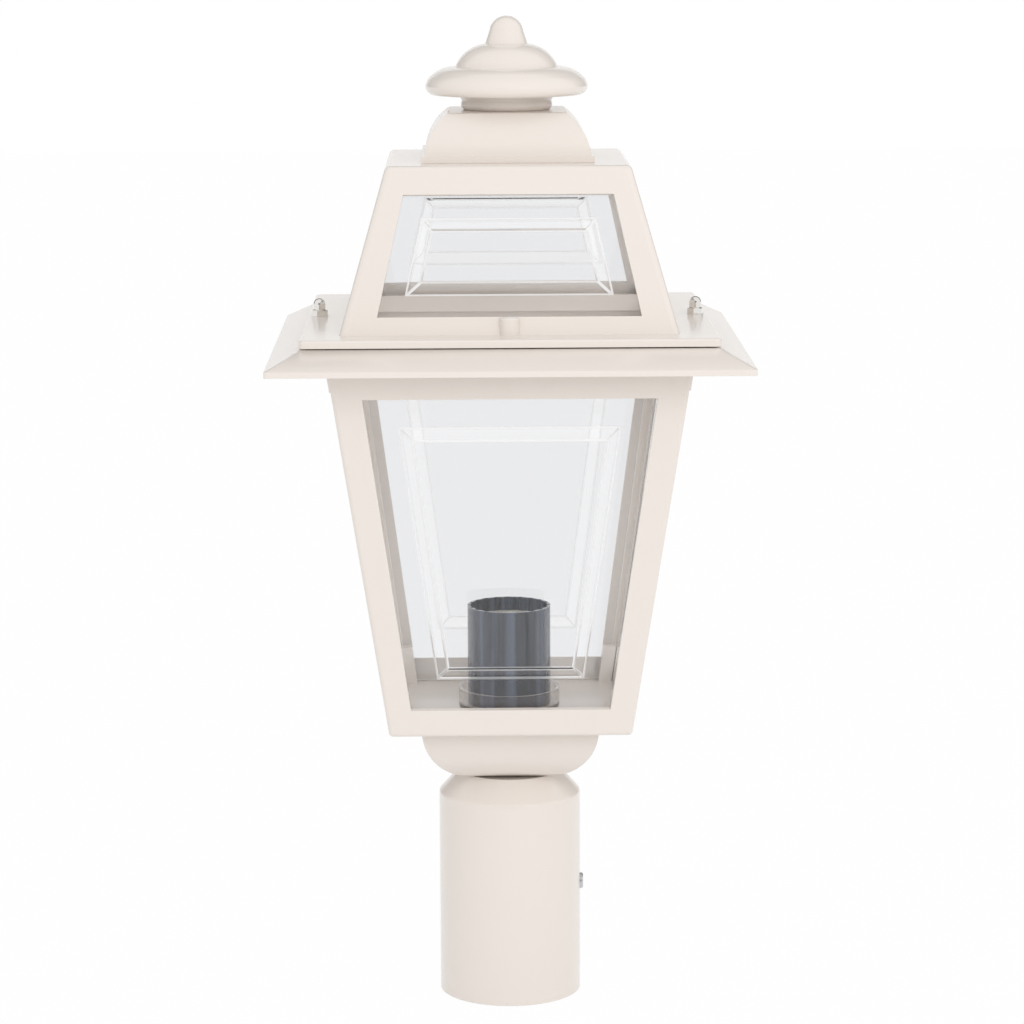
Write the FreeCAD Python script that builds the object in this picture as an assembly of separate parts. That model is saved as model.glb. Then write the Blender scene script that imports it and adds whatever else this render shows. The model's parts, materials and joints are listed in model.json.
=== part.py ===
import FreeCAD, Part

import os
from math import atan, cos, pi, sin, sqrt, tan

V = FreeCAD.Vector

# Post-top lantern. Millimetres, +Z up, front at -Y, origin at the middle of the sleeve's open mouth.

# Post sleeve: a tube over the post, closed above by a coned shoulder
POST_BORE_R = 30.5
SLEEVE_WALL = 4.5
SLEEVE_STRAIGHT = 101.5
SHOULDER_RISE = 10.9
SHOULDER_TOP_R = 25.0
SHOULDER_ROUND = 3.0
SLEEVE_TOP_WALL = 4.4
BORE_STOP_DROP = 2.5
MOUTH_CHAMFER = 0.8

# Set screw in the side of the sleeve
SET_SCREW_R = 4.0
SET_SCREW_Z = 54.0
SET_SCREW_PROUD = 1.5
SET_SCREW_KEY_AF = 4.0
SET_SCREW_KEY_DEPTH = 2.5
SET_SCREW_CHAMFER = 0.5

# Base dome: square in plan, each side a quarter round
DOME_ROUND = 30.0
DOME_INSET = 15.3
DOME_WALL = 3.0

# Body frame: a square casting that widens upward
BODY_BASE_HALF = 58.3
BODY_FLARE = 26.24
BODY_HEIGHT = 177.6
BODY_FLOOR = 3.0
BODY_SILL = 13.5
BODY_HEAD = 10.55
BODY_STILE_LOW = 12.5
BODY_STILE_HIGH = 14.0
BODY_ROUND = 2.2
BODY_LUG = 9.5
BODY_LUG_FOOT = 21.0
BODY_LUG_HEAD = 20.0
BAND_HEIGHT = 7.0
BAND_PROUD = 0.6

# Eave ring: stands on the body's rim
EAVE_OVERHANG = 28.2
EAVE_LIP_RAISE = 3.7
EAVE_LIP = 2.8
EAVE_SLOPE_RUN = 15.44
EAVE_SLOPE_RISE = 8.1
EAVE_WALL = 3.0
EAVE_LEG_INSET = 1.54
EAVE_LEG_WALL = 4.0
EAVE_FLANGE = 7.0
EAVE_ROUND = 1.6
EAVE_LUG_REACH = 16.5
EAVE_LUG_HEIGHT = 3.5

# Roof plate: rests on low pads of the eave ring
PAD_HEIGHT = 0.7
PAD_R = 4.0
PAD_INSET = 10.3
PLATE_THICKNESS = 3.7
PLATE_CORNER = 3.0
PLATE_EDGE = 1.4
PLATE_LEDGE = 11.17
PLATE_RIM_WALL = 3.0
PLATE_RIM_UP = 2.0
PLATE_RIM_DOWN = 2.3

# Roof tower: a square casting that narrows upward
TOWER_INSET = 18.13
TOWER_TAPER = 21.77
TOWER_HEIGHT = 76.76
TOWER_TOP_WALL = 3.5
TOWER_SILL = 8.2
TOWER_HEAD = 12.96
TOWER_STILE_LOW = 15.2
TOWER_STILE_HIGH = 11.87
TOWER_ROUND = 3.2
TOWER_LUG = 8.5
TOWER_LUG_FOOT = 8.5
TOWER_LUG_HEAD = 12.0
TOWER_SLOT_PAST_HEAD = 6.0
TOWER_BOSS_R = 4.6
TOWER_BOSS_INSET = 0.9
TOWER_BOSS_ROUND = 1.0

# Cast wall and clear panes, shared by body and tower, and how far inside the window a pane's bevel starts
FRAME_WALL = 3.2
PANE_THICKNESS = 2.5
PANE_GAP = 0.3
PANE_GRIP = 5.0
BEVEL_WIDTH = 5.4
BEVEL_RISE = 3.0
BODY_PANE_MARGIN = 15.0
TOWER_PANE_MARGIN = 11.0

# Roof cap: square in plan, each side a quarter round above a small lip
CAP_INSET = 16.4
CAP_LIP = 3.2
CAP_STEP = 1.4
CAP_ROUND = 28.0
CAP_ROUND_CENTRE_Z = 0.2
CAP_HEIGHT = 22.94
CAP_WALL = 3.0
CAP_TOP_ROUND = 3.2

# Finial, as (radius, height) above the cap: a lone point ends a line, a pair is an arc's middle and end
FINIAL_NECK = [[(20.3, 0.0)], [(21.6, 1.1), (21.9, 3.3)], [(21.6, 4.3)], [(22.9, 7.3)]]
FINIAL_DISC_RIM = [[(36.0, 7.3)], [(38.1, 8.7), (39.0, 11.4)], [(38.0, 14.2), (35.6, 16.8)]]
FINIAL_DISC_TOP = [[(31.3, 19.4), (25.0, 20.4)]]
FINIAL_CROWN = [[(24.4, 21.0)], [(20.3, 26.8), (11.4, 31.2)]]
FINIAL_NUB = [[(10.1, 31.6)], [(8.5, 36.5), (7.5, 39.8)]]
FINIAL_HEIGHT = 44.7

# Gaps between fitted pieces
THREAD_GAP = 0.05
HOLE_GAP = 0.25

# Hollow nipple that clamps sleeve, dome, body and lampholder
NIPPLE_R = 5.0
NIPPLE_BORE_R = 3.6
NIPPLE_PAST_NUT = 2.0
NIPPLE_NUT_AF = 14.0
NIPPLE_NUT_HEIGHT = 3.5
NIPPLE_WASHER_R = 10.0
NIPPLE_WASHER_HEIGHT = 1.5

# Screws that hold the eave ring to bosses in the body's corners
EAVE_SCREW_R = 2.0
EAVE_SCREW_LENGTH = 12.0
EAVE_SCREW_HEAD_R = 4.0
EAVE_SCREW_HEAD = 2.5
EAVE_SCREW_INSET = 10.0
EAVE_BOSS_R = 5.0
EAVE_BOSS_HEIGHT = 15.0

# Studs in the eave ring and the acorn nuts on them
STUD_R = 2.0
STUD_INSET = 5.9
STUD_DEPTH = 9.0
STUD_BOSS_R = 5.0
STUD_BOSS_HEIGHT = 11.0
STUD_TIP_GAP = 0.3
ACORN_AF = 7.0
ACORN_HEX_HEIGHT = 3.5
ACORN_BEVEL = 0.6
ACORN_DOME_R = 2.85
ACORN_HEIGHT = 8.8
ACORN_THREAD_DEPTH = 6.0
ACORN_TURN = 15.0

# Flat-headed screws that hold the tower to the plate
TOWER_SCREW_R = 1.5
TOWER_SCREW_LENGTH = 10.0
TOWER_SCREW_HEAD_R = 3.0
TOWER_SCREW_HEAD = 1.7

# Drive slots of the screws
RECESS_WIDTH = 1.0
RECESS_DEPTH = 1.2
RECESS_LENGTH = 4.0

# Threaded rod of the finial, with its washer and nut
ROD_R = 3.0
ROD_IN_FINIAL = 14.0
ROD_PAST_NUT = 1.8
ROD_NUT_AF = 10.0
ROD_NUT_HEIGHT = 5.0
ROD_WASHER_R = 6.4
ROD_WASHER_HEIGHT = 1.5

# Lampholder: collar, skirt, insulating core, screw shell and centre contact
COLLAR_R = 24.9
COLLAR_WALL = 1.6
COLLAR_BASE = 1.5
COLLAR_HEIGHT = 9.1
SKIRT_R = 20.5
SKIRT_BORE_R = 19.0
SKIRT_HEIGHT = 48.6
SKIRT_BASE = 3.0
FLUTE_COUNT = 20
FLUTE_R = 1.15
CORE_GAP = 0.12
CORE_CAVITY_R = 15.0
CORE_CAVITY_HEIGHT = 11.0
CORE_DECK = 4.0
CORE_HEIGHT = 39.0
SHELL_BORE_R = 13.3
SHELL_WALL = 0.6
SHELL_HEIGHT = 22.5
SHELL_FLOOR_HOLE_R = 8.0
CONTACT_R = 4.0
CONTACT_HEIGHT = 0.6
CONTACT_STEM_R = 1.5
CONTACT_RIVET_R = 3.0
CONTACT_RIVET_HEIGHT = 1.5

# Overshoot of a cutting tool
PAST = 1.0

# Half widths that follow from the sizes above, from the dome up
DOME_FOOT_HALF = BODY_BASE_HALF - DOME_INSET - DOME_ROUND
BODY_TOP_HALF = BODY_BASE_HALF + BODY_FLARE
EAVE_HALF = BODY_TOP_HALF + EAVE_OVERHANG
EAVE_TOP_HALF = EAVE_HALF - EAVE_SLOPE_RUN
EAVE_LEG_HALF = BODY_TOP_HALF - EAVE_LEG_INSET
EAVE_FLANGE_HALF = EAVE_LEG_HALF - EAVE_FLANGE
EAVE_LUG_HALF = EAVE_LEG_HALF - EAVE_LUG_REACH
PLATE_HALF = EAVE_TOP_HALF
TOWER_BASE_HALF = PLATE_HALF - TOWER_INSET
TOWER_TOP_HALF = TOWER_BASE_HALF - TOWER_TAPER
PLATE_OPENING_HALF = TOWER_BASE_HALF - PLATE_LEDGE
CAP_HALF = TOWER_TOP_HALF - CAP_INSET
CAP_ROUND_CENTRE_HALF = CAP_HALF - CAP_STEP - CAP_ROUND

# Levels, radii and depths that follow from them
SLEEVE_R = POST_BORE_R + SLEEVE_WALL
SLEEVE_TOP_Z = SLEEVE_STRAIGHT + SHOULDER_RISE
SLEEVE_CEILING_Z = SLEEVE_TOP_Z - SLEEVE_TOP_WALL
BODY_Z = SLEEVE_TOP_Z + DOME_ROUND
BODY_FLOOR_Z = BODY_Z + BODY_FLOOR
BODY_TOP_Z = BODY_Z + BODY_HEIGHT
EAVE_LIP_Z = BODY_TOP_Z + EAVE_LIP_RAISE
EAVE_LIP_TOP_Z = EAVE_LIP_Z + EAVE_LIP
EAVE_TOP_Z = EAVE_LIP_TOP_Z + EAVE_SLOPE_RISE
PLATE_Z = EAVE_TOP_Z + PAD_HEIGHT
PLATE_TOP_Z = PLATE_Z + PLATE_THICKNESS
TOWER_TOP_Z = PLATE_TOP_Z + TOWER_HEIGHT
TOWER_CEILING_Z = TOWER_TOP_Z - TOWER_TOP_WALL
CAP_TOP_Z = TOWER_TOP_Z + CAP_HEIGHT
SKIRT_Z = BODY_FLOOR_Z + COLLAR_BASE
SKIRT_FLOOR_Z = SKIRT_Z + SKIRT_BASE
CORE_DECK_LOW_Z = SKIRT_FLOOR_Z + CORE_CAVITY_HEIGHT
CORE_DECK_Z = CORE_DECK_LOW_Z + CORE_DECK
SHELL_R = SHELL_BORE_R + SHELL_WALL
SLOT_DEPTH = PANE_THICKNESS + 2 * PANE_GAP
BEVEL_LAG = PANE_THICKNESS * tan(atan(BEVEL_RISE / BEVEL_WIDTH) / 2)
EAVE_SCREW_AT = BODY_TOP_HALF - EAVE_SCREW_INSET
PAD_AT = PLATE_HALF - PAD_INSET
STUD_X = PLATE_HALF - STUD_INSET
TOWER_BOSS_Y = TOWER_BASE_HALF - TOWER_BOSS_INSET

# Places of repeated features
SIDES = ["front", "right", "rear", "left"]
CORNERS = [(x, y) for x in (-1, 1) for y in (-1, 1)]
EAVE_SCREW_PLACES = [(x * EAVE_SCREW_AT, y * EAVE_SCREW_AT) for x, y in CORNERS]
PAD_PLACES = [(x * PAD_AT, y * PAD_AT) for x, y in CORNERS]
STUD_PLACES = [(-STUD_X, 0.0), (STUD_X, 0.0)]
TOWER_BOSS_PLACES = [(0.0, -TOWER_BOSS_Y), (0.0, TOWER_BOSS_Y)]


def polygon_face(points):
    return Part.Face(Part.makePolygon(list(points) + [points[0]]))


def hexahedron(lower, upper):
    """Solid between two four-sided outlines whose sides are parallel."""
    faces = [polygon_face(lower[::-1]), polygon_face(upper)]
    for i in range(4):
        j = (i + 1) % 4
        faces.append(polygon_face([lower[i], lower[j], upper[j], upper[i]]))
    shell = Part.Shell(faces)
    shell.sewShape()
    solid = Part.Solid(shell)
    if solid.Volume < 0:
        solid.reverse()
    return solid


def square(half, z, centre=(0.0, 0.0)):
    turns = [(-1, -1), (1, -1), (1, 1), (-1, 1)]
    return [V(centre[0] + x * half, centre[1] + y * half, z) for x, y in turns]


def pyramid(low_half, low_z, high_half, high_z):
    """Square frustum about the Z axis."""
    return hexahedron(square(low_half, low_z), square(high_half, high_z))


def block(half, z0, z1):
    return pyramid(half, z0, half, z1)


def disc(radius, z0, z1, place=(0.0, 0.0)):
    return Part.makeCylinder(radius, z1 - z0, V(place[0], place[1], z0))


def discs(radius, z0, z1, places):
    return [disc(radius, z0, z1, place) for place in places]


def tube(outer, inner, z0, z1):
    return disc(outer, z0, z1).cut(disc(inner, z0, z1))


def revolved(points):
    """Turns a closed outline of (radius, height) points about the Z axis."""
    return polygon_face([V(r, 0, z) for r, z in points]).revolve(V(), V(0, 0, 1), 360)


def hexagon(across_flats, z0, z1, turn=0.0):
    corner = across_flats / sqrt(3)
    angles = [turn * pi / 180 + k * pi / 3 for k in range(6)]
    outline = [V(corner * cos(a), corner * sin(a), z0) for a in angles]
    return polygon_face(outline).extrude(V(0, 0, z1 - z0))


def fuse(shapes):
    return shapes[0].multiFuse(shapes[1:]).removeSplitter()


def placed_copies(shape, places):
    return [shape.translated(V(x, y, 0)) for x, y in places]


def turned_copies(shape, count=4):
    """Copies of a shape spaced evenly round the Z axis."""
    copies = []
    for k in range(count):
        copy = shape.copy()
        copy.rotate(V(), V(0, 0, 1), k * 360.0 / count)
        copies.append(copy)
    return copies


def rounded(shape, radius, test):
    """Fillets every edge of a solid that the test picks."""
    return shape.makeFillet(radius, [e for e in shape.Edges if test(e)]).Solids[0]


def rises(edge):
    """True for an edge that climbs, so not one that lies level."""
    ends = [v.Point.z for v in edge.Vertexes]
    return len(ends) == 2 and abs(ends[0] - ends[1]) > 0.01


def lies_at(edge, z):
    return all(abs(v.Point.z - z) < 0.01 for v in edge.Vertexes)


def soft_square(half, z, radius):
    """Square outline with rounded corners."""
    arm, slant = half - radius, radius * sqrt(0.5)
    side = Part.LineSegment(V(-arm, -half, z), V(arm, -half, z)).toShape()
    corner = Part.Arc(V(arm, -half, z), V(arm + slant, -arm - slant, z), V(half, -arm, z)).toShape()
    pairs = zip(turned_copies(side), turned_copies(corner))
    return Part.Wire([edge for pair in pairs for edge in pair])


def square_turning(profile):
    """Solid with one outline from the front and from the side, drawn as a face in the XZ plane."""
    reach = profile.BoundBox.XLength
    across = profile.extrude(V(0, 2 * reach, 0)).translated(V(0, -reach, 0))
    along = turned_copies(across)[1]
    return across.common(along).removeSplitter()


def quarter_round(centre_half, centre_z, radius, z0, z1):
    """Square-plan solid between two heights, each side an arc about a line at centre_half, centre_z."""
    heights = [z0, (z0 + z1) / 2, z1]
    halves = [centre_half + sqrt(radius ** 2 - (z - centre_z) ** 2) for z in heights]
    right = [V(w, 0, z) for w, z in zip(halves, heights)]
    left = [V(-w, 0, z) for w, z in zip(halves, heights)]
    edges = [
        Part.Arc(*right).toShape(),
        Part.LineSegment(right[2], left[2]).toShape(),
        Part.Arc(*left[::-1]).toShape(),
        Part.LineSegment(left[0], right[0]).toShape(),
    ]
    return square_turning(Part.Face(Part.Wire(edges)))


class GlazedFrame:
    """A square tapered casting with a window in each side and a pane behind it."""

    def __init__(self, base_z, height, base_half, top_half, lug):
        self.base_z = base_z
        self.top_z = base_z + height
        self.base_half = base_half
        self.top_half = top_half
        self.lug = lug
        self.lean = atan((top_half - base_half) / height)
        self.wall = FRAME_WALL / cos(self.lean)

    def set_window(self, sill, head, stile_low, stile_high):
        self.sill_z = self.base_z + sill
        self.head_z = self.top_z - head
        self.low_half = self.half(self.sill_z) - stile_low
        self.high_half = self.half(self.head_z) - stile_high

    def half(self, z):
        """Half width of the casting at a height."""
        return self.base_half + (z - self.base_z) * tan(self.lean)

    def window_half(self, z):
        share = (z - self.sill_z) / (self.head_z - self.sill_z)
        return self.low_half + share * (self.high_half - self.low_half)

    def up(self, z, depth=0.0):
        """Distance up the side to the point at this height and this depth behind the face."""
        return (z - self.base_z - depth * sin(self.lean)) / cos(self.lean)

    def outside(self):
        return pyramid(self.base_half, self.base_z, self.top_half, self.top_z)

    def inside(self, z0, z1):
        return pyramid(self.half(z0) - self.wall, z0, self.half(z1) - self.wall, z1)

    def outline(self, up0, up1, margin, depth):
        """The window's shape grown by a margin, drawn with X across, Y up the side and -Z inward."""
        heights = [self.base_z + up * cos(self.lean) for up in (up0, up1)]
        w0, w1 = [self.window_half(z) + margin for z in heights]
        return [V(-w0, up0, -depth), V(w0, up0, -depth), V(w1, up1, -depth), V(-w1, up1, -depth)]

    def slab(self, up0, up1, margin, outer, inner):
        return polygon_face(self.outline(up0, up1, margin, outer)).extrude(V(0, 0, outer - inner))

    def on_front(self, flat):
        """Stands a flat shape against the front side."""
        s, c = sin(self.lean), cos(self.lean)
        rows = (1, 0, 0, 0, 0, -s, -c, -self.base_half, 0, c, -s, self.base_z, 0, 0, 0, 1)
        flat.Placement = FreeCAD.Placement(FreeCAD.Matrix(*rows))
        return flat

    def windows(self):
        behind = FRAME_WALL + SLOT_DEPTH
        opening = self.slab(self.up(self.sill_z), self.up(self.head_z), 0.0, -FRAME_WALL, behind)
        return turned_copies(self.on_front(opening))

    def slots(self, up0, up1):
        slot = self.slab(up0, up1, PANE_GRIP + PANE_GAP, FRAME_WALL, FRAME_WALL + SLOT_DEPTH)
        return turned_copies(self.on_front(slot))

    def lugs(self, z0, z1):
        """A lug in each inner corner that holds the panes' ends and follows the taper."""
        size = (self.lug + self.wall / 2) / 2
        low, high = [self.half(z) - self.wall / 2 - size for z in (z0, z1)]
        lug = hexahedron(square(size, z0, (low, low)), square(size, z1, (high, high)))
        return turned_copies(lug)

    def raised_field(self, margin, depth):
        """Frustum that stands outward on the plane at this depth, this far inside the window."""
        foot0, foot1 = self.up(self.sill_z) + margin, self.up(self.head_z) - margin
        foot = self.outline(foot0, foot1, -margin, depth)
        top = self.outline(
            foot0 + BEVEL_WIDTH, foot1 - BEVEL_WIDTH, -margin - BEVEL_WIDTH, depth - BEVEL_RISE
        )
        return hexahedron(foot, top)

    def panes(self, up0, up1, margin):
        """Formed sheets of even thickness whose middle field is raised outward."""
        face = FRAME_WALL + PANE_GAP
        back = face + PANE_THICKNESS
        sheet = self.slab(up0, up1, PANE_GRIP, face, back)
        pane = fuse([sheet, self.raised_field(margin, face)])
        return turned_copies(self.on_front(pane.cut(self.raised_field(margin + BEVEL_LAG, back))))


BODY = GlazedFrame(BODY_Z, BODY_HEIGHT, BODY_BASE_HALF, BODY_TOP_HALF, BODY_LUG)
BODY.set_window(BODY_SILL, BODY_HEAD, BODY_STILE_LOW, BODY_STILE_HIGH)
TOWER = GlazedFrame(PLATE_TOP_Z, TOWER_HEIGHT, TOWER_BASE_HALF, TOWER_TOP_HALF, TOWER_LUG)
TOWER.set_window(TOWER_SILL, TOWER_HEAD, TOWER_STILE_LOW, TOWER_STILE_HIGH)
TOWER_SLOT_END = TOWER.up(TOWER.head_z + TOWER_SLOT_PAST_HEAD, FRAME_WALL)
PANE_BACK = FRAME_WALL + PANE_GAP + PANE_THICKNESS


def post_socket():
    slope = (SLEEVE_R - SHOULDER_TOP_R) / SHOULDER_RISE
    stop_z = SLEEVE_STRAIGHT - BORE_STOP_DROP
    ceiling_r = POST_BORE_R - slope * (SLEEVE_CEILING_Z - stop_z)
    hole_r = NIPPLE_R + HOLE_GAP
    sleeve = revolved([
        (POST_BORE_R + MOUTH_CHAMFER, 0), (SLEEVE_R, 0), (SLEEVE_R, SLEEVE_STRAIGHT),
        (SHOULDER_TOP_R, SLEEVE_TOP_Z), (hole_r, SLEEVE_TOP_Z), (hole_r, SLEEVE_CEILING_Z),
        (ceiling_r, SLEEVE_CEILING_Z), (POST_BORE_R, stop_z), (POST_BORE_R, MOUTH_CHAMFER),
    ])
    sleeve = rounded(sleeve, SHOULDER_ROUND, lambda e: lies_at(e, SLEEVE_STRAIGHT))
    start = V(POST_BORE_R - SLEEVE_WALL / 2, 0, SET_SCREW_Z)
    return sleeve.cut(Part.makeCylinder(SET_SCREW_R, 2 * SLEEVE_WALL, start, V(1, 0, 0)))


def post_set_screw():
    """Grub screw whose tip is flush with the bore and whose socket end stands out."""
    length = SLEEVE_WALL + SET_SCREW_PROUD
    screw = disc(SET_SCREW_R - THREAD_GAP, 0, length)
    rims = [e for e in screw.Edges if len(e.Vertexes) == 1]
    screw = screw.makeChamfer(SET_SCREW_CHAMFER, rims)
    screw = screw.cut(hexagon(SET_SCREW_KEY_AF, length - SET_SCREW_KEY_DEPTH, length + PAST))
    screw.rotate(V(), V(0, 1, 0), 90)
    return screw.translated(V(POST_BORE_R, 0, SET_SCREW_Z))


def base_dome():
    outer = quarter_round(DOME_FOOT_HALF, BODY_Z, DOME_ROUND, SLEEVE_TOP_Z, BODY_Z)
    hollow = quarter_round(DOME_FOOT_HALF, BODY_Z, DOME_ROUND - DOME_WALL, SLEEVE_TOP_Z + DOME_WALL, BODY_Z)
    hole = disc(NIPPLE_R + HOLE_GAP, SLEEVE_TOP_Z - PAST, BODY_Z)
    return outer.cut([hollow, hole])


def body_frame():
    outer = rounded(BODY.outside(), BODY_ROUND, lambda e: rises(e) or lies_at(e, BODY_Z))
    band_z = BODY_TOP_Z - BAND_HEIGHT
    band = pyramid(BODY.half(band_z) + BAND_PROUD, band_z, BODY_TOP_HALF + BAND_PROUD, BODY_TOP_Z)
    band = rounded(band, BODY_ROUND, rises)
    shell = outer.fuse(band).cut(BODY.inside(BODY_FLOOR_Z, BODY_TOP_Z))
    lugs = BODY.lugs(BODY_FLOOR_Z - BODY_FLOOR / 2, BODY_Z + BODY_LUG_FOOT)
    lugs += BODY.lugs(BODY_TOP_Z - BODY_LUG_HEAD, BODY_TOP_Z)
    bosses = discs(EAVE_BOSS_R, BODY_TOP_Z - EAVE_BOSS_HEIGHT, BODY_TOP_Z, EAVE_SCREW_PLACES)
    hole_z = BODY_TOP_Z - EAVE_SCREW_LENGTH
    holes = discs(EAVE_SCREW_R + THREAD_GAP, hole_z, BODY_TOP_Z, EAVE_SCREW_PLACES)
    slots = BODY.slots(BODY.up(BODY_FLOOR_Z, FRAME_WALL), BODY.up(BODY_TOP_Z) + SLOT_DEPTH)
    inlet = disc(NIPPLE_R + HOLE_GAP, BODY_Z - PAST, BODY_FLOOR_Z + PAST)
    return fuse([shell] + lugs + bosses).cut(BODY.windows() + slots + holes + [inlet])


def body_panes():
    foot, top = BODY.up(BODY_FLOOR_Z, FRAME_WALL), BODY.up(BODY_TOP_Z - PANE_GAP, PANE_BACK)
    return BODY.panes(foot, top, BODY_PANE_MARGIN)


def eave_ring():
    under = EAVE_TOP_Z - EAVE_WALL
    rim = soft_square(EAVE_HALF, EAVE_LIP_TOP_Z, EAVE_ROUND)
    top = soft_square(EAVE_TOP_HALF, EAVE_TOP_Z, EAVE_ROUND)
    eave = fuse([Part.Face(rim).extrude(V(0, 0, -EAVE_LIP)), Part.makeLoft([rim, top], True, True)])

    slope = (EAVE_HALF - EAVE_TOP_HALF) / EAVE_SLOPE_RISE
    knee_z = EAVE_LIP_TOP_Z - EAVE_WALL * (sqrt(1 + slope ** 2) - 1) / slope
    hollow_half = EAVE_HALF - EAVE_WALL
    hollow_low = block(hollow_half, EAVE_LIP_Z - PAST, knee_z)
    hollow_high = pyramid(hollow_half, knee_z, hollow_half - slope * (under - knee_z), under)

    leg = block(EAVE_LEG_HALF, BODY_TOP_Z, under + EAVE_WALL / 2)
    inside_leg = block(EAVE_LEG_HALF - EAVE_LEG_WALL, BODY_TOP_Z - PAST, under)
    opening = block(EAVE_FLANGE_HALF, BODY_TOP_Z - PAST, EAVE_TOP_Z + PAST)
    ring = eave.cut([hollow_low, hollow_high]).fuse(leg).cut([inside_leg, opening])

    lug_size = EAVE_LEG_HALF - EAVE_LEG_WALL / 2 - EAVE_LUG_HALF
    lug_corner = V(EAVE_LUG_HALF, EAVE_LUG_HALF, BODY_TOP_Z)
    lug = Part.makeBox(lug_size, lug_size, EAVE_LUG_HEIGHT, lug_corner)
    pads = discs(PAD_R, under + EAVE_WALL / 2, PLATE_Z, PAD_PLACES)
    bosses = discs(STUD_BOSS_R, PLATE_Z - STUD_BOSS_HEIGHT, PLATE_Z, STUD_PLACES)
    lug_top = BODY_TOP_Z + EAVE_LUG_HEIGHT
    screw_holes = discs(EAVE_SCREW_R + HOLE_GAP, BODY_TOP_Z - PAST, lug_top + PAST, EAVE_SCREW_PLACES)
    stud_holes = discs(STUD_R + THREAD_GAP, PLATE_Z - STUD_DEPTH, PLATE_Z + PAST, STUD_PLACES)
    return fuse([ring] + turned_copies(lug) + pads + bosses).cut(screw_holes + stud_holes)


def drive_slot(z0, z1):
    corner = V(-RECESS_LENGTH / 2, -RECESS_WIDTH / 2, z0)
    return Part.makeBox(RECESS_LENGTH, RECESS_WIDTH, z1 - z0, corner)


def eave_screws():
    seat = BODY_TOP_Z + EAVE_LUG_HEIGHT
    top = seat + EAVE_SCREW_HEAD
    head = disc(EAVE_SCREW_HEAD_R, seat, top)
    head = rounded(head, EAVE_SCREW_HEAD / 2, lambda e: lies_at(e, top))
    shank = disc(EAVE_SCREW_R, seat - EAVE_SCREW_LENGTH, seat)
    cross = turned_copies(drive_slot(top - RECESS_DEPTH, top + PAST))[:2]
    return Part.makeCompound(placed_copies(fuse([head, shank]).cut(cross), EAVE_SCREW_PLACES))


def roof_studs():
    top = PLATE_TOP_Z + ACORN_THREAD_DEPTH - STUD_TIP_GAP
    return discs(STUD_R, PLATE_Z - STUD_DEPTH, top, STUD_PLACES)


def acorn_nuts():
    hex_top = PLATE_TOP_Z + ACORN_HEX_HEIGHT
    dome_z = PLATE_TOP_Z + ACORN_HEIGHT - ACORN_DOME_R
    corner = ACORN_AF / sqrt(3)
    chamfered = revolved([
        (0, PLATE_TOP_Z), (corner, PLATE_TOP_Z), (corner, hex_top - ACORN_BEVEL),
        (ACORN_DOME_R, hex_top), (0, hex_top),
    ])
    prism = hexagon(ACORN_AF, PLATE_TOP_Z, hex_top, ACORN_TURN).common(chamfered)
    barrel = disc(ACORN_DOME_R, PLATE_TOP_Z + ACORN_HEX_HEIGHT / 2, dome_z)
    ball = Part.makeSphere(ACORN_DOME_R, V(0, 0, dome_z), V(0, 0, 1), 0, 90, 360)
    thread = disc(STUD_R + THREAD_GAP, PLATE_TOP_Z, PLATE_TOP_Z + ACORN_THREAD_DEPTH)
    return placed_copies(fuse([prism, barrel, ball]).cut(thread), STUD_PLACES)


def countersink(gap):
    """Cone of a flat screw head that opens downward at the plate's underside."""
    return Part.makeCone(TOWER_SCREW_HEAD_R + gap, TOWER_SCREW_R + gap, TOWER_SCREW_HEAD, V(0, 0, PLATE_Z))


def roof_plate():
    sheet = rounded(block(PLATE_HALF, PLATE_Z, PLATE_TOP_Z), PLATE_CORNER, rises)
    sheet = rounded(sheet, PLATE_EDGE, lambda e: lies_at(e, PLATE_TOP_Z))
    rim_z, rim_top = PLATE_Z - PLATE_RIM_DOWN, PLATE_TOP_Z + PLATE_RIM_UP
    rim = block(PLATE_OPENING_HALF + PLATE_RIM_WALL, rim_z, rim_top)
    opening = block(PLATE_OPENING_HALF, rim_z - PAST, rim_top + PAST)
    stud_holes = discs(STUD_R + HOLE_GAP, PLATE_Z - PAST, PLATE_TOP_Z + PAST, STUD_PLACES)
    screw_holes = discs(TOWER_SCREW_R + HOLE_GAP, PLATE_Z - PAST, PLATE_TOP_Z + PAST, TOWER_BOSS_PLACES)
    sinks = placed_copies(countersink(HOLE_GAP), TOWER_BOSS_PLACES)
    return fuse([sheet, rim]).cut([opening] + stud_holes + screw_holes + sinks)


def tower_screws():
    shank = disc(TOWER_SCREW_R, PLATE_Z, PLATE_Z + TOWER_SCREW_LENGTH)
    screw = fuse([shank, countersink(0.0)]).cut(drive_slot(PLATE_Z - PAST, PLATE_Z + RECESS_DEPTH))
    return Part.makeCompound(placed_copies(screw, TOWER_BOSS_PLACES))


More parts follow.
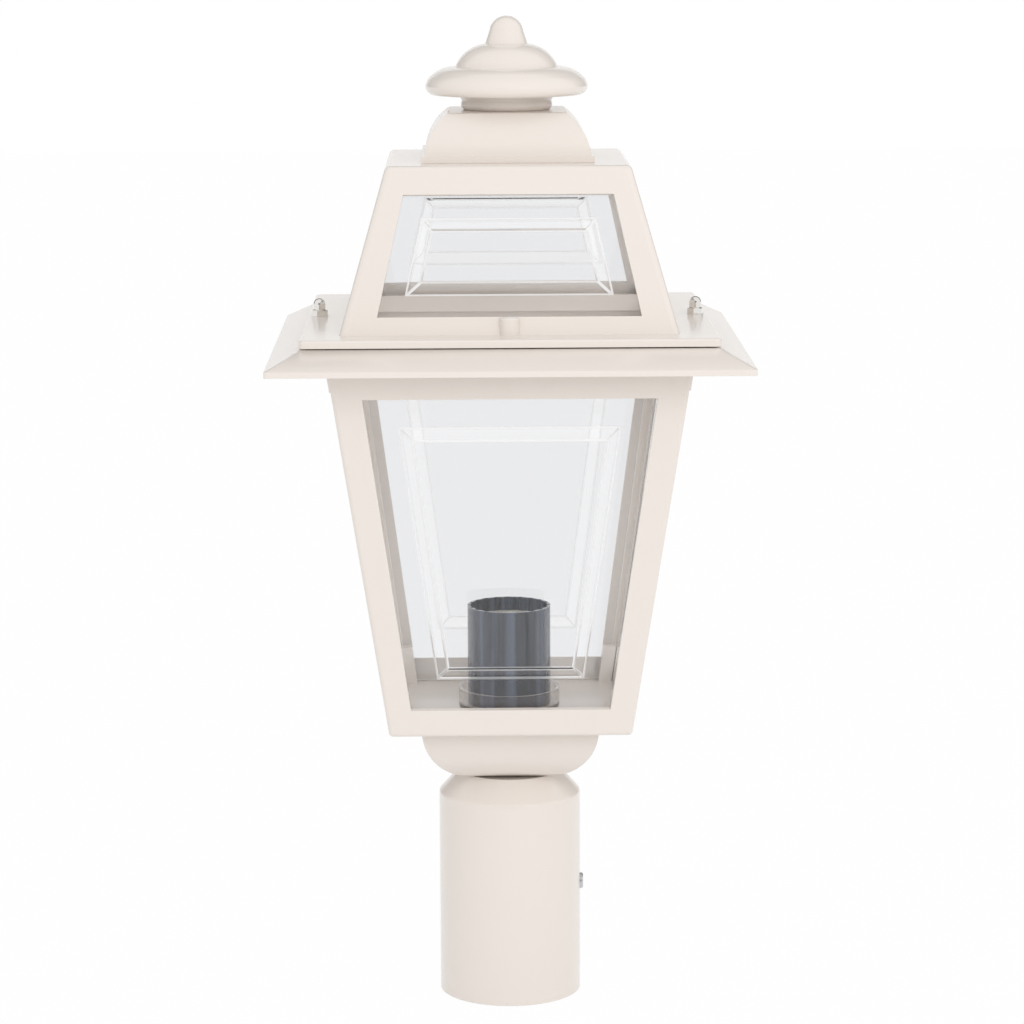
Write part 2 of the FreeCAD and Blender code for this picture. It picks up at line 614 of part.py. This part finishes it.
def roof_tower():
    outer = rounded(TOWER.outside(), TOWER_ROUND, lambda e: rises(e) or lies_at(e, TOWER_TOP_Z))
    boss = disc(TOWER_BOSS_R, PLATE_TOP_Z, TOWER.sill_z)
    boss = rounded(boss, TOWER_BOSS_ROUND, lambda e: lies_at(e, TOWER.sill_z))
    bosses = placed_copies(boss, TOWER_BOSS_PLACES)
    shell = fuse([outer] + bosses).cut(TOWER.inside(PLATE_TOP_Z, TOWER_CEILING_Z))
    lugs = TOWER.lugs(PLATE_TOP_Z + PLATE_RIM_UP + HOLE_GAP, PLATE_TOP_Z + TOWER_LUG_FOOT)
    lugs += TOWER.lugs(TOWER_CEILING_Z - TOWER_LUG_HEAD, TOWER_CEILING_Z + TOWER_TOP_WALL / 2)
    slots = TOWER.slots(-SLOT_DEPTH, TOWER_SLOT_END)
    hole_top = PLATE_Z + TOWER_SCREW_LENGTH
    holes = discs(TOWER_SCREW_R + THREAD_GAP, PLATE_TOP_Z - PAST, hole_top, TOWER_BOSS_PLACES)
    rod_hole = disc(ROD_R + HOLE_GAP, TOWER_CEILING_Z - PAST, TOWER_TOP_Z + PAST)
    return fuse([shell] + lugs).cut(TOWER.windows() + slots + holes + [rod_hole])


def roof_panes():
    foot = TOWER.up(PLATE_TOP_Z, PANE_BACK)
    return TOWER.panes(foot, TOWER_SLOT_END - PANE_GAP, TOWER_PANE_MARGIN)


def roof_cap():
    centre_z = TOWER_TOP_Z + CAP_ROUND_CENTRE_Z
    inner = CAP_ROUND - CAP_WALL
    lip = block(CAP_HALF, TOWER_TOP_Z, TOWER_TOP_Z + CAP_LIP)
    crown = quarter_round(CAP_ROUND_CENTRE_HALF, centre_z, CAP_ROUND, centre_z, CAP_TOP_Z)
    crown = rounded(crown, CAP_TOP_ROUND, lambda e: lies_at(e, CAP_TOP_Z))
    hollow = quarter_round(CAP_ROUND_CENTRE_HALF, centre_z, inner, centre_z, CAP_TOP_Z - CAP_WALL)
    mouth = block(CAP_ROUND_CENTRE_HALF + inner, TOWER_TOP_Z - PAST, centre_z)
    hole = disc(ROD_R + HOLE_GAP, TOWER_TOP_Z, CAP_TOP_Z + PAST)
    return fuse([lip, crown]).cut([hollow, mouth, hole])


def ball_top(edge_r, edge_z, top_z):
    """Middle and end of an arc centred on the Z axis, from a rim up to the axis."""
    rise = top_z - edge_z
    radius = (edge_r ** 2 + rise ** 2) / (2 * rise)
    half_angle = atan(edge_r / (radius - rise)) / 2
    return [(radius * sin(half_angle), top_z - radius * (1 - cos(half_angle))), (0, top_z)]


def finial():
    pieces = FINIAL_NECK + FINIAL_DISC_RIM + FINIAL_DISC_TOP + FINIAL_CROWN + FINIAL_NUB
    shoulder_r, shoulder_z = pieces[-1][-1]
    pieces = pieces + [ball_top(shoulder_r, shoulder_z, FINIAL_HEIGHT), [(0, 0)]]
    at, edges = V(0, 0, 0), []
    for piece in pieces:
        points = [V(r, 0, z) for r, z in piece]
        curve = Part.LineSegment(at, *points) if len(points) == 1 else Part.Arc(at, *points)
        edges.append(curve.toShape())
        at = points[-1]
    turned = Part.Face(Part.Wire(edges)).revolve(V(), V(0, 0, 1), 360)
    return turned.cut(disc(ROD_R + THREAD_GAP, -PAST, ROD_IN_FINIAL)).translated(V(0, 0, CAP_TOP_Z))


def finial_rod():
    foot = TOWER_CEILING_Z - ROD_WASHER_HEIGHT - ROD_NUT_HEIGHT - ROD_PAST_NUT
    return disc(ROD_R, foot, CAP_TOP_Z + ROD_IN_FINIAL)


def finial_washer():
    return tube(ROD_WASHER_R, ROD_R + HOLE_GAP, TOWER_CEILING_Z - ROD_WASHER_HEIGHT, TOWER_CEILING_Z)


def finial_nut():
    top = TOWER_CEILING_Z - ROD_WASHER_HEIGHT
    foot = top - ROD_NUT_HEIGHT
    return hexagon(ROD_NUT_AF, foot, top).cut(disc(ROD_R + THREAD_GAP, foot, top))


def cable_nipple():
    foot = SLEEVE_CEILING_Z - NIPPLE_WASHER_HEIGHT - NIPPLE_NUT_HEIGHT - NIPPLE_PAST_NUT
    return tube(NIPPLE_R, NIPPLE_BORE_R, foot, SKIRT_FLOOR_Z + NIPPLE_NUT_HEIGHT + NIPPLE_PAST_NUT)


def nipple_washer():
    foot = SLEEVE_CEILING_Z - NIPPLE_WASHER_HEIGHT
    return tube(NIPPLE_WASHER_R, NIPPLE_R + HOLE_GAP, foot, SLEEVE_CEILING_Z)


def nipple_nut(z):
    top = z + NIPPLE_NUT_HEIGHT
    return hexagon(NIPPLE_NUT_AF, z, top).cut(disc(NIPPLE_R + THREAD_GAP, z, top))


def lampholder_collar():
    """Shallow cup round the lampholder's foot, clamped under it."""
    rim = BODY_FLOOR_Z + COLLAR_HEIGHT
    return revolved([
        (NIPPLE_R + HOLE_GAP, BODY_FLOOR_Z), (COLLAR_R, BODY_FLOOR_Z), (COLLAR_R, rim),
        (COLLAR_R - COLLAR_WALL, rim), (COLLAR_R - COLLAR_WALL, SKIRT_Z), (NIPPLE_R + HOLE_GAP, SKIRT_Z),
    ])


def lampholder_skirt():
    top = SKIRT_Z + SKIRT_HEIGHT
    bore = disc(SKIRT_BORE_R, SKIRT_FLOOR_Z, top)
    flutes = turned_copies(disc(FLUTE_R, SKIRT_FLOOR_Z, top, (SKIRT_BORE_R, 0.0)), FLUTE_COUNT)
    entry = disc(NIPPLE_R + HOLE_GAP, SKIRT_Z, SKIRT_FLOOR_Z)
    return disc(SKIRT_R, SKIRT_Z, top).cut([bore, entry] + flutes)


def lampholder_core():
    """Insulator: a hollow foot over the clamping nut, a deck and a well for the screw shell."""
    outer = SKIRT_BORE_R - CORE_GAP
    well = SHELL_R + THREAD_GAP
    stem = CONTACT_STEM_R + THREAD_GAP
    top = SKIRT_FLOOR_Z + CORE_HEIGHT
    return revolved([
        (CORE_CAVITY_R, SKIRT_FLOOR_Z), (outer, SKIRT_FLOOR_Z), (outer, top), (well, top),
        (well, CORE_DECK_Z), (stem, CORE_DECK_Z), (stem, CORE_DECK_LOW_Z), (CORE_CAVITY_R, CORE_DECK_LOW_Z),
    ])


def lampholder_screw_shell():
    floor_top, rim = CORE_DECK_Z + SHELL_WALL, CORE_DECK_Z + SHELL_HEIGHT
    return revolved([
        (SHELL_FLOOR_HOLE_R, CORE_DECK_Z), (SHELL_R, CORE_DECK_Z), (SHELL_R, rim),
        (SHELL_BORE_R, rim), (SHELL_BORE_R, floor_top), (SHELL_FLOOR_HOLE_R, floor_top),
    ])


def lampholder_contact():
    """Button riveted through the core's deck."""
    top = CORE_DECK_Z + CONTACT_HEIGHT
    rivet_z = CORE_DECK_LOW_Z - CONTACT_RIVET_HEIGHT
    button = disc(CONTACT_R, CORE_DECK_Z, top)
    button = rounded(button, CONTACT_HEIGHT / 2, lambda e: lies_at(e, top))
    stem = disc(CONTACT_STEM_R, CORE_DECK_LOW_Z, CORE_DECK_Z)
    rivet = disc(CONTACT_RIVET_R, rivet_z, CORE_DECK_LOW_Z)
    return fuse([button, stem, rivet])


def make_parts():
    parts = {
        "post_socket": post_socket(),
        "post_set_screw": post_set_screw(),
        "base_dome": base_dome(),
        "body_frame": body_frame(),
        "eave_ring": eave_ring(),
        "eave_screws": eave_screws(),
        "roof_plate": roof_plate(),
        "roof_tower": roof_tower(),
        "tower_screws": tower_screws(),
        "roof_cap": roof_cap(),
        "finial": finial(),
        "finial_rod": finial_rod(),
        "finial_washer": finial_washer(),
        "finial_nut": finial_nut(),
        "cable_nipple": cable_nipple(),
        "nipple_washer": nipple_washer(),
        "nipple_nut_lower": nipple_nut(SLEEVE_CEILING_Z - NIPPLE_WASHER_HEIGHT - NIPPLE_NUT_HEIGHT),
        "nipple_nut_upper": nipple_nut(SKIRT_FLOOR_Z),
        "lampholder_collar": lampholder_collar(),
        "lampholder_skirt": lampholder_skirt(),
        "lampholder_core": lampholder_core(),
        "lampholder_screw_shell": lampholder_screw_shell(),
        "lampholder_contact": lampholder_contact(),
    }
    for side, stud, nut in zip(("left", "right"), roof_studs(), acorn_nuts()):
        parts["roof_stud_" + side] = stud
        parts["acorn_nut_" + side] = nut
    for side, body_pane, roof_pane in zip(SIDES, body_panes(), roof_panes()):
        parts["body_pane_" + side] = body_pane
        parts["roof_pane_" + side] = roof_pane
    return parts


os.makedirs("parts", exist_ok=True)
for name, shape in make_parts().items():
    shape.exportStep("parts/" + name + ".step")
    print(name, "solids", len(shape.Solids), "valid", shape.isValid(), "cm3", round(shape.Volume / 1000, 2))
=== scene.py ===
import json
from math import cos, radians, sin

import bpy
from mathutils import Matrix, Vector

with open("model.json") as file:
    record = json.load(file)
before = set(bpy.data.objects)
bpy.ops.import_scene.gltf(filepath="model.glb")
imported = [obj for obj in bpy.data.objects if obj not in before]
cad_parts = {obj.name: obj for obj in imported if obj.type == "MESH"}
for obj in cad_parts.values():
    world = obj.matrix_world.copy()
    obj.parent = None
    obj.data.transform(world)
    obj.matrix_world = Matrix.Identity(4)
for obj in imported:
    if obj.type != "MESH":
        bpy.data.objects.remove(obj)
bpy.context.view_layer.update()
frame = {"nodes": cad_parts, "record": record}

# Colours of paint, plastic, metal and panes, in linear colour
CREAM = (0.835, 0.770, 0.712)
PANE_TINT = (0.908, 0.911, 0.918)
# The slanting border of a pane is tinted lighter than its field: a painted highlight
BEVEL_HIGHLIGHT_TINT = (0.965, 0.967, 0.970)
# Whitish tint of the pane folds, with a diffuse share: painted glints
FOLD_GLINT_TINT = (0.97, 0.97, 0.97)
PANE_IOR = 1.49
FOLD_IOR = 1.15
SMOKY_IOR = 1.46
CHROME = (0.78, 0.76, 0.73)
ZINC = (0.66, 0.67, 0.68)
BRASS = (0.55, 0.42, 0.22)
GREY_PLASTIC = (0.021, 0.026, 0.037)
SMOKY_PLASTIC = (0.90, 0.885, 0.88)
CERAMIC = (0.72, 0.70, 0.64)
BACKDROP = (1.0, 1.0, 1.0)
FLOOR = (0.92, 0.92, 0.92)

# What gloss reflects, from straight behind the object (0) to behind the camera (1): place and brightness
STUDIO_PANELS = (
    (0.0, 1.0),
    (0.03, 1.0),
    (0.067, 0.2),
    (0.235, 0.2),
    (0.31, 1.0),
    (0.924, 1.0),
    (0.976, 0.25),
)

# The panel overhead fades in between these heights of the reflected direction
OVERHEAD_FADE = (0.84, 0.95)

# Edges that casting and paint round off, in metres, degrees and segments
SOFT_EDGE = 0.0004
WELD_DISTANCE = 0.00001
FLAT_WITHIN = 0.5
CASTING_EDGE = 35.0
CASTING_SEGMENTS = 2
FOLD_EDGE = 20.0
FOLD_SEGMENTS = 3
SOFT_CASTINGS = ("body_frame", "roof_tower", "eave_ring", "roof_plate", "roof_cap", "base_dome")

# Places of a pane's materials after its own, and the cosines between which a face belongs to the bevel
FOLD_PLACE = 1
BEVEL_PLACE = 2
BEVEL_SLOPE = (0.75, 0.97)

# Camera, in metres and degrees
CAMERA_PLACE = (-0.02064, -1.66656, 0.53552)
CAMERA_YAW = 0.77
CAMERA_PITCH = 10.0
CAMERA_ROLL = -0.25
CAMERA_LENS = 121.0
SENSOR = 36.0

# Strengths of the light on the object, and the softbox, in watts and metres
ROOM_LIGHT = 0.89
ROOM_LIGHT_OVERHEAD = 0.80
KEY_POWER = 11.0
KEY_PLACE = (0.6, -1.9, 1.2)
KEY_TARGET = (0.0, 0.0, 0.28)
KEY_SIZE = (1.4, 1.0)

# Floor, in metres, and the share of it that glows to the camera
FLOOR_SIZE = 12.0
FLOOR_HEIGHT = -0.0005
FLOOR_GLOW = 0.97


class Surface:
    """A material with one Principled shader and the texture nodes that feed it."""

    def __init__(self, name, color, roughness, metallic=0.0):
        self.mat = bpy.data.materials.new(name)
        self.mat.use_nodes = True
        self.nodes = self.mat.node_tree.nodes
        self.links = self.mat.node_tree.links
        self.shader = self.nodes["Principled BSDF"]
        self.set("Base Color", (*color, 1.0))
        self.set("Roughness", roughness)
        self.set("Metallic", metallic)
        self.place = self.nodes.new("ShaderNodeTexCoord").outputs["Object"]

    def set(self, socket, value):
        self.shader.inputs[socket].default_value = value

    def stretched(self, scale):
        mapping = self.nodes.new("ShaderNodeMapping")
        mapping.inputs["Scale"].default_value = scale
        self.links.new(self.place, mapping.inputs["Vector"])
        return mapping.outputs["Vector"]

    def noise(self, scale, detail=2.0, vector=None):
        node = self.nodes.new("ShaderNodeTexNoise")
        node.inputs["Scale"].default_value = scale
        node.inputs["Detail"].default_value = detail
        self.links.new(vector or self.place, node.inputs["Vector"])
        return node.outputs["Fac"]

    def spread(self, value, low, high):
        """Maps a value from 0.3 to 0.7, where noise mostly lies, onto low to high."""
        node = self.nodes.new("ShaderNodeMapRange")
        for socket, number in zip(("From Min", "From Max", "To Min", "To Max"), (0.3, 0.7, low, high)):
            node.inputs[socket].default_value = number
        self.links.new(value, node.inputs["Value"])
        return node.outputs["Result"]

    def mix(self, share, first, second):
        node = self.nodes.new("ShaderNodeMix")
        node.data_type = "RGBA"
        node.inputs[6].default_value = (*first, 1.0)
        node.inputs[7].default_value = (*second, 1.0)
        self.links.new(share, node.inputs[0])
        return node.outputs[2]

    def feed(self, socket, output):
        self.links.new(output, self.shader.inputs[socket])

    def bump(self, height, distance, strength=1.0):
        node = self.nodes.new("ShaderNodeBump")
        node.inputs["Strength"].default_value = strength
        node.inputs["Distance"].default_value = distance
        self.links.new(height, node.inputs["Height"])
        self.feed("Normal", node.outputs["Normal"])

    def let_lamps_through(self):
        """Shadow and diffuse rays pass, so that what is behind the surface is lit."""
        path = self.nodes.new("ShaderNodeLightPath")
        either = self.nodes.new("ShaderNodeMath")
        either.operation = "MAXIMUM"
        self.links.new(path.outputs["Is Shadow Ray"], either.inputs[0])
        self.links.new(path.outputs["Is Diffuse Ray"], either.inputs[1])
        clear = self.nodes.new("ShaderNodeBsdfTransparent")
        mix = self.nodes.new("ShaderNodeMixShader")
        self.links.new(either.outputs[0], mix.inputs[0])
        self.links.new(self.shader.outputs[0], mix.inputs[1])
        self.links.new(clear.outputs[0], mix.inputs[2])
        self.links.new(mix.outputs[0], self.nodes["Material Output"].inputs["Surface"])


def cream_paint():
    paint = Surface("cream_paint", CREAM, 0.3)
    cloud = paint.spread(paint.noise(9.0, 3.0), 0.0, 1.0)
    paint.feed("Base Color", paint.mix(cloud, CREAM, tuple(0.985 * c for c in CREAM)))
    paint.feed("Roughness", paint.spread(paint.noise(260.0, 3.0), 0.29, 0.32))
    paint.set("Coat Weight", 0.5)
    paint.set("Coat Roughness", 0.12)
    paint.bump(paint.noise(900.0, 1.0), 0.00002, 0.25)
    return paint.mat


def clear_acrylic(name, tint):
    acrylic = Surface(name, tint, 0.0)
    acrylic.set("Transmission Weight", 1.0)
    acrylic.set("IOR", PANE_IOR)
    acrylic.let_lamps_through()
    return acrylic.mat


def acrylic_fold_painted_glint():
    # The folds get a whitish, partly diffuse surface that stands in for glints: painted highlights
    fold = Surface("acrylic_fold_painted_glint", FOLD_GLINT_TINT, 0.35)
    fold.set("Transmission Weight", 0.7)
    fold.set("IOR", FOLD_IOR)
    fold.let_lamps_through()
    return fold.mat


def smoky_plastic():
    plastic = Surface("smoky_plastic", SMOKY_PLASTIC, 0.08)
    plastic.set("Transmission Weight", 1.0)
    plastic.set("IOR", SMOKY_IOR)
    plastic.let_lamps_through()
    return plastic.mat


def polished_chrome():
    chrome = Surface("polished_chrome", CHROME, 0.07, 1.0)
    chrome.feed("Roughness", chrome.spread(chrome.noise(700.0, 2.0), 0.05, 0.12))
    return chrome.mat


def plated_steel(name, color, roughness):
    steel = Surface(name, color, roughness, 1.0)
    steel.feed("Roughness", steel.spread(steel.noise(500.0, 3.0), roughness - 0.07, roughness + 0.09))
    cloud = steel.spread(steel.noise(180.0, 2.0), 0.0, 1.0)
    steel.feed("Base Color", steel.mix(cloud, color, tuple(0.86 * c for c in color)))
    return steel.mat


def grey_plastic():
    plastic = Surface("grey_plastic", GREY_PLASTIC, 0.3)
    # Lighter vertical streaks in the base colour are painted sheen that stands in for reflections; the same
    # pattern also bumps the surface slightly
    drawn = plastic.stretched((230.0, 230.0, 5.0))
    painted_sheen_streaks = plastic.spread(plastic.noise(1.0, 2.0, drawn), -0.5, 1.2)
    plastic.feed("Base Color", plastic.mix(painted_sheen_streaks, GREY_PLASTIC, tuple(4.5 * c for c in GREY_PLASTIC)))
    plastic.feed("Roughness", plastic.spread(plastic.noise(120.0, 2.0), 0.15, 0.2))
    plastic.set("Coat Weight", 0.6)
    plastic.set("Coat Roughness", 0.08)
    plastic.set("Coat IOR", 1.5)
    plastic.bump(painted_sheen_streaks, 0.00002, 0.5)
    return plastic.mat


def glazed_ceramic():
    ceramic = Surface("glazed_ceramic", CERAMIC, 0.25)
    cloud = ceramic.spread(ceramic.noise(90.0, 3.0), 0.0, 1.0)
    ceramic.feed("Base Color", ceramic.mix(cloud, CERAMIC, tuple(0.93 * c for c in CERAMIC)))
    ceramic.feed("Roughness", ceramic.spread(ceramic.noise(200.0, 2.0), 0.2, 0.34))
    return ceramic.mat


def drawn_brass():
    brass = Surface("drawn_brass", BRASS, 0.28, 1.0)
    cloud = brass.spread(brass.noise(160.0, 3.0), 0.0, 1.0)
    brass.feed("Base Color", brass.mix(cloud, BRASS, tuple(0.82 * c for c in BRASS)))
    brass.feed("Roughness", brass.spread(brass.noise(400.0, 2.0), 0.2, 0.36))
    return brass.mat


SLOT_MATERIALS = {
    "cream_paint": cream_paint(),
    "clear_acrylic": clear_acrylic("clear_acrylic", PANE_TINT),
    "chrome": polished_chrome(),
    "zinc_steel": plated_steel("zinc_steel", ZINC, 0.32),
    "grey_phenolic": grey_plastic(),
    "clear_plastic": smoky_plastic(),
    "white_ceramic": glazed_ceramic(),
    "brass": drawn_brass(),
}


def dress_nodes():
    for part in frame["record"]["subparts"]:
        node = frame["nodes"][part["node"]]
        material = SLOT_MATERIALS[part["material_slot"]]
        node.data.materials.clear()
        node.data.materials.append(material)


def soften(node, segments, sharpest, material=-1):
    """Rounds the sharp edges of a CAD node by a hair. The rounds take the material at the place given."""
    weld = node.modifiers.new("weld", "WELD")
    weld.merge_threshold = WELD_DISTANCE
    flat = node.modifiers.new("flat", "DECIMATE")
    flat.decimate_type = "DISSOLVE"
    flat.angle_limit = radians(FLAT_WITHIN)
    bevel = node.modifiers.new("soft_edges", "BEVEL")
    bevel.width = SOFT_EDGE
    bevel.segments = segments
    bevel.limit_method = "ANGLE"
    bevel.angle_limit = radians(sharpest)
    bevel.harden_normals = True
    bevel.material = material
    even = node.modifiers.new("even", "WEIGHTED_NORMAL")
    even.weight = 100


def dress_pane(node, fold, bevel):
    """Gives the slanting border of a pane a lighter tint than its flat field, a painted highlight, and its
    folds a whitish, partly diffuse edge, painted glints.
    """
    node.data.materials.append(fold)
    node.data.materials.append(bevel)
    flat = max(node.data.polygons, key=lambda face: face.area).normal.copy()
    for face in node.data.polygons:
        if BEVEL_SLOPE[0] < abs(face.normal.dot(flat)) < BEVEL_SLOPE[1]:
            face.material_index = BEVEL_PLACE
    soften(node, FOLD_SEGMENTS, FOLD_EDGE, FOLD_PLACE)


def dress_castings():
    for name in SOFT_CASTINGS:
        soften(frame["nodes"][name], CASTING_SEGMENTS, CASTING_EDGE)


def dress_panes():
    # The bevel material's lighter tint is a painted highlight, and the fold material's whitish edge is
    # painted glints
    fold, bevel = acrylic_fold_painted_glint(), clear_acrylic("acrylic_bevel_painted_highlight", BEVEL_HIGHLIGHT_TINT)
    for name, node in frame["nodes"].items():
        if "_pane_" in name:
            dress_pane(node, fold, bevel)


def add_camera():
    yaw, pitch, roll = radians(CAMERA_YAW), radians(CAMERA_PITCH), radians(CAMERA_ROLL)
    forward = Vector((sin(yaw) * cos(pitch), cos(yaw) * cos(pitch), -sin(pitch)))
    right = Vector((cos(yaw), -sin(yaw), 0.0))
    up = right.cross(forward)
    level_right, level_up = right, up
    right = level_right * cos(roll) + level_up * sin(roll)
    up = level_up * cos(roll) - level_right * sin(roll)
    data = bpy.data.cameras.new("camera")
    data.lens = CAMERA_LENS
    data.sensor_width = SENSOR
    camera = bpy.data.objects.new("camera", data)
    camera.matrix_world = Matrix((right, up, -forward)).transposed().to_4x4()
    camera.location = CAMERA_PLACE
    bpy.context.scene.collection.objects.link(camera)
    bpy.context.scene.camera = camera


def add_softbox(name, place, target, size, power):
    data = bpy.data.lights.new(name, "AREA")
    data.shape = "RECTANGLE"
    data.size, data.size_y = size
    data.energy = power
    lamp = bpy.data.objects.new(name, data)
    lamp.location = place
    lamp.rotation_euler = (Vector(target) - Vector(place)).to_track_quat("-Z", "Y").to_euler()
    lamp.visible_glossy = False
    lamp.visible_transmission = False
    bpy.context.scene.collection.objects.link(lamp)


def either_of(nodes, links, first, second):
    node = nodes.new("ShaderNodeMath")
    node.operation = "MAXIMUM"
    links.new(first, node.inputs[0])
    links.new(second, node.inputs[1])
    return node.outputs[0]


def between(nodes, links, share, low, high):
    """A strength that goes from low to high with the share; each is a number or an output."""
    node = nodes.new("ShaderNodeMix")
    for socket, value in zip(node.inputs[2:4], (low, high)):
        if isinstance(value, float):
            socket.default_value = value
        else:
            links.new(value, socket)
    links.new(share, node.inputs[0])
    return node.outputs[0]


def studio_panels(nodes, links, direction):
    """Bright panels all round, with a dark ring behind the object and a gap behind the camera."""
    towards_camera = nodes.new("ShaderNodeMapRange")
    towards_camera.inputs["From Min"].default_value = 1.0
    towards_camera.inputs["From Max"].default_value = -1.0
    links.new(direction.outputs["Y"], towards_camera.inputs["Value"])
    ramp = nodes.new("ShaderNodeValToRGB")
    stops = ramp.color_ramp.elements
    while len(stops) < len(STUDIO_PANELS):
        stops.new(0.5)
    for stop, (place, brightness) in zip(stops, STUDIO_PANELS):
        stop.position = place
        stop.color = (brightness, brightness, brightness, 1.0)
    links.new(towards_camera.outputs["Result"], ramp.inputs["Fac"])
    overhead = nodes.new("ShaderNodeMapRange")
    overhead.inputs["From Min"].default_value = OVERHEAD_FADE[0]
    overhead.inputs["From Max"].default_value = OVERHEAD_FADE[1]
    links.new(direction.outputs["Z"], overhead.inputs["Value"])
    return either_of(nodes, links, ramp.outputs["Color"], overhead.outputs["Result"])


def add_room():
    world = bpy.data.worlds.new("studio")
    world.use_nodes = True
    nodes, links = world.node_tree.nodes, world.node_tree.links
    direction = nodes.new("ShaderNodeSeparateXYZ")
    links.new(nodes.new("ShaderNodeTexCoord").outputs["Generated"], direction.inputs["Vector"])
    path = nodes.new("ShaderNodeLightPath")
    seen = either_of(nodes, links, path.outputs["Is Camera Ray"], path.outputs["Is Transmission Ray"])
    lit = between(nodes, links, direction.outputs["Z"], ROOM_LIGHT, ROOM_LIGHT_OVERHEAD)
    lit = between(nodes, links, seen, lit, 1.0)
    mirrored = nodes.new("ShaderNodeMath")
    mirrored.operation = "SUBTRACT"
    mirrored.use_clamp = True
    links.new(path.outputs["Is Glossy Ray"], mirrored.inputs[0])
    links.new(path.outputs["Is Transmission Ray"], mirrored.inputs[1])
    panels = studio_panels(nodes, links, direction)
    strength = between(nodes, links, mirrored.outputs[0], lit, panels)
    links.new(strength, nodes["Background"].inputs["Strength"])
    nodes["Background"].inputs["Color"].default_value = (*BACKDROP, 1.0)
    bpy.context.scene.world = world


def add_floor():
    floor = Surface("floor", FLOOR, 0.7)
    nodes, links = floor.nodes, floor.links
    path = nodes.new("ShaderNodeLightPath")
    seen = either_of(nodes, links, path.outputs["Is Camera Ray"], path.outputs["Is Transmission Ray"])
    seen = either_of(nodes, links, seen, path.outputs["Is Glossy Ray"])
    glow = nodes.new("ShaderNodeEmission")
    glow.inputs["Color"].default_value = (*BACKDROP, 1.0)
    share = nodes.new("ShaderNodeMath")
    share.operation = "MULTIPLY"
    share.inputs[1].default_value = FLOOR_GLOW
    links.new(seen, share.inputs[0])
    mix = nodes.new("ShaderNodeMixShader")
    links.new(share.outputs[0], mix.inputs[0])
    links.new(floor.shader.outputs[0], mix.inputs[1])
    links.new(glow.outputs[0], mix.inputs[2])
    links.new(mix.outputs[0], nodes["Material Output"].inputs["Surface"])
    bpy.ops.mesh.primitive_plane_add(size=FLOOR_SIZE, location=(0.0, 0.0, FLOOR_HEIGHT))
    plane = bpy.context.object
    plane.name = "floor"
    plane.data.materials.append(floor.mat)


dress_nodes()
dress_castings()
dress_panes()
add_camera()
add_softbox("key", KEY_PLACE, KEY_TARGET, KEY_SIZE, KEY_POWER)
add_room()
add_floor()
bpy.context.scene.view_settings.view_transform = "Standard"
